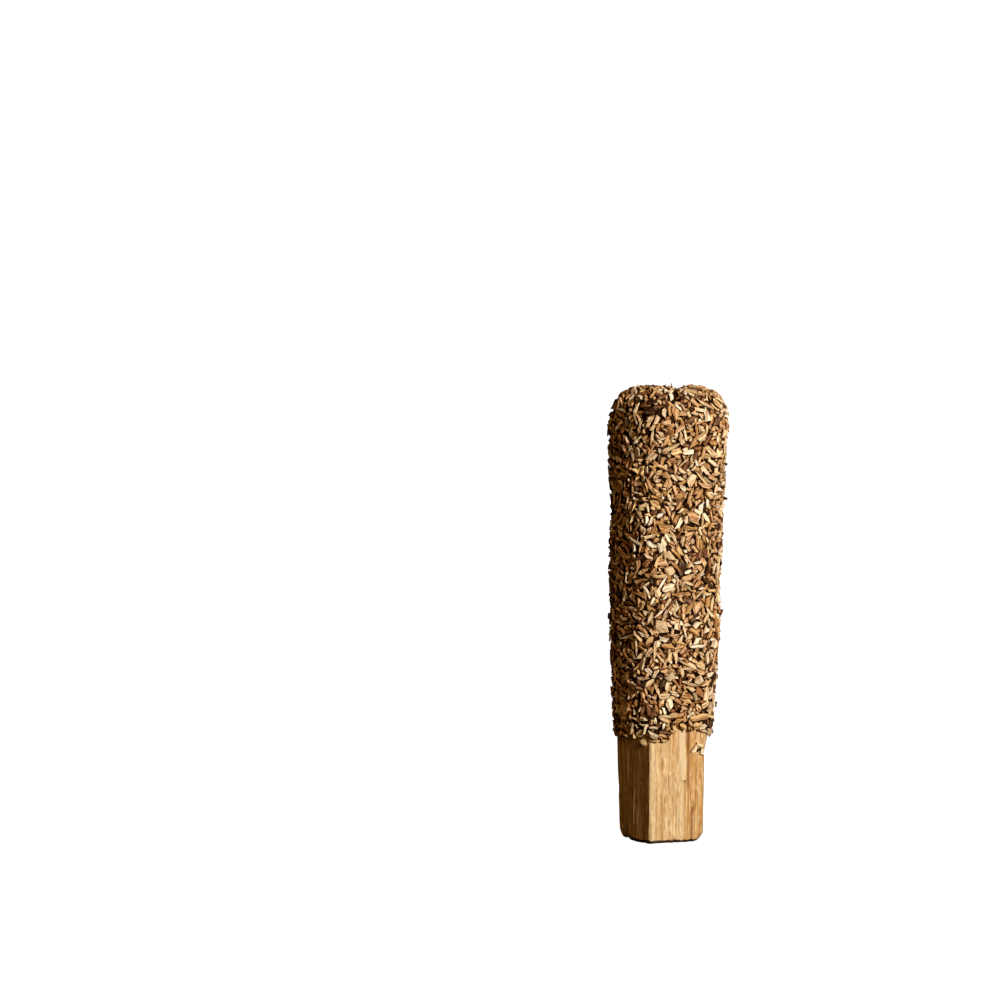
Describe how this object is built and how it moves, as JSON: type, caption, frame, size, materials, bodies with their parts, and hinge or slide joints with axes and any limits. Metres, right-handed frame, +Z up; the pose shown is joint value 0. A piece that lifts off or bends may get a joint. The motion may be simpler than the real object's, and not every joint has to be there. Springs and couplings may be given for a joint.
{
  "type": "palo santo stick",
  "caption": "Hand-split stick of palo santo wood, bare at the foot as a handle and rolled above it in a crust of chopped wood chips.",
  "frame": {"origin": "middle of the cut foot that the stick stands on", "axes": "+Z up along the stick, from its cut foot to its crusted end; -Y is the side with the broad split face"},
  "size_m": [0.0283, 0.0254, 0.109],
  "materials": {
    "split_wood": "raw split wood, matt, with fine straight grain",
    "wood_chips": "raw chopped chips from cream to dark brown, matt, set in a dark resinous binder"
  },
  "bodies": {
    "root": {"stick": "split_wood", "chip_crust": "wood_chips", "stray_chip_left": "wood_chips", "stray_chip_right": "wood_chips"}
  },
  "joints": []
}
